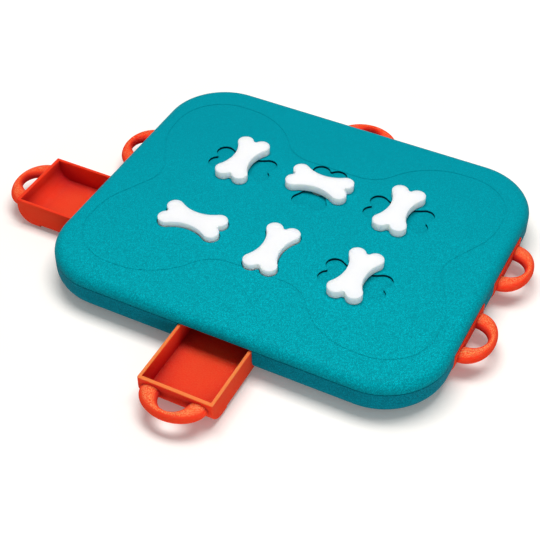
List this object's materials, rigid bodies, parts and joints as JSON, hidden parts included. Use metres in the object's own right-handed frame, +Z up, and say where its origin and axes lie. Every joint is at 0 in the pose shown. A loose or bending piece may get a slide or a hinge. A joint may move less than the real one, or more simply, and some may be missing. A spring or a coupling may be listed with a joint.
{
  "type": "dog puzzle feeder",
  "caption": "Flat treat board for dogs with pull-out drawers round its sides, each locked by a bone-shaped knob on top that is turned and dropped in line to free it.",
  "frame": {"origin": "middle of the board on the surface it stands on, under the middle rubber foot", "axes": "+X to the right end of the board, along its long side; +Y to the back; +Z up"},
  "size_m": [0.5188, 0.4578, 0.0527],
  "materials": {
    "cover_teal": "fine grain, satin",
    "base_teal": "fine grain, satin",
    "drawer_orange": "satin",
    "bone_white": "satin",
    "key_white": "as moulded",
    "screw_steel": "zinc plated",
    "foot_rubber": "matt"
  },
  "bodies": {
    "board": {"top_cover": "cover_teal", "base_tray": "base_teal", "case_screws": "screw_steel", "rubber_feet": "foot_rubber", "lock_key_left_front": "key_white", "lock_key_middle_front": "key_white"},
    "drawer_left_back": {"drawer_left_back": "drawer_orange"},
    "key_left_back": {"lock_key_left_back": "key_white"},
    "knob_left_back": {"bone_left_back": "bone_white", "bone_screw_left_back": "screw_steel"},
    "drawer_left_front": {"drawer_left_front": "drawer_orange"},
    "knob_left_front": {"bone_left_front": "bone_white", "bone_screw_left_front": "screw_steel"},
    "drawer_middle_back": {"drawer_middle_back": "drawer_orange"},
    "key_middle_back": {"lock_key_middle_back": "key_white"},
    "knob_middle_back": {"bone_middle_back": "bone_white", "bone_screw_middle_back": "screw_steel"},
    "drawer_middle_front": {"drawer_middle_front": "drawer_orange"},
    "knob_middle_front": {"bone_middle_front": "bone_white", "bone_screw_middle_front": "screw_steel"},
    "drawer_right_back": {"drawer_right_back": "drawer_orange"},
    "key_right_back": {"lock_key_right_back": "key_white"},
    "knob_right_back": {"bone_right_back": "bone_white", "bone_screw_right_back": "screw_steel"},
    "drawer_right_front": {"drawer_right_front": "drawer_orange"},
    "key_right_front": {"lock_key_right_front": "key_white"},
    "knob_right_front": {"bone_right_front": "bone_white", "bone_screw_right_front": "screw_steel"}
  },
  "joints": [
    {"name": "drawer_left_back_slide", "type": "slide", "parent": "board", "child": "drawer_left_back", "axis": [-1, 0, 0], "range_m": [0, 0.07]},
    {"name": "key_left_back_turn", "type": "hinge", "parent": "board", "child": "key_left_back", "pos_m": [-0.086, 0.0515, 0.04], "axis": [0, 0, 1], "range_deg": [-90, 90]},
    {"name": "knob_left_back_lift", "type": "slide", "parent": "key_left_back", "child": "knob_left_back", "axis": [0, 0, 1], "range_m": [0, 0.0009]},
    {"name": "drawer_left_front_slide", "type": "slide", "parent": "board", "child": "drawer_left_front", "axis": [-1, 0, 0], "range_m": [-0.068, 0.002]},
    {"name": "knob_left_front_lift", "type": "slide", "parent": "board", "child": "knob_left_front", "axis": [0, 0, 1], "range_m": [0, 0.0037]},
    {"name": "drawer_middle_back_slide", "type": "slide", "parent": "board", "child": "drawer_middle_back", "axis": [0, 1, 0], "range_m": [-0.004, 0.066]},
    {"name": "key_middle_back_turn", "type": "hinge", "parent": "board", "child": "key_middle_back", "pos_m": [0, 0.0525, 0.04], "axis": [0, 0, 1], "range_deg": [-90, 90]},
    {"name": "knob_middle_back_lift", "type": "slide", "parent": "key_middle_back", "child": "knob_middle_back", "axis": [0, 0, 1], "range_m": [0, 0.0009]},
    {"name": "drawer_middle_front_slide", "type": "slide", "parent": "board", "child": "drawer_middle_front", "axis": [0, -1, 0], "range_m": [-0.07, 0]},
    {"name": "knob_middle_front_lift", "type": "slide", "parent": "board", "child": "knob_middle_front", "axis": [0, 0, 1], "range_m": [0, 0.0037]},
    {"name": "drawer_right_back_slide", "type": "slide", "parent": "board", "child": "drawer_right_back", "axis": [1, 0, 0], "range_m": [0, 0.07]},
    {"name": "key_right_back_turn", "type": "hinge", "parent": "board", "child": "key_right_back", "pos_m": [0.086, 0.0515, 0.04], "axis": [0, 0, 1], "range_deg": [-90, 90]},
    {"name": "knob_right_back_lift", "type": "slide", "parent": "key_right_back", "child": "knob_right_back", "axis": [0, 0, 1], "range_m": [0, 0.0009]},
    {"name": "drawer_right_front_slide", "type": "slide", "parent": "board", "child": "drawer_right_front", "axis": [1, 0, 0], "range_m": [0, 0.07]},
    {"name": "key_right_front_turn", "type": "hinge", "parent": "board", "child": "key_right_front", "pos_m": [0.086, -0.0515, 0.04], "axis": [0, 0, 1], "range_deg": [-90, 90]},
    {"name": "knob_right_front_lift", "type": "slide", "parent": "key_right_front", "child": "knob_right_front", "axis": [0, 0, 1], "range_m": [0, 0.0009]}
  ]
}
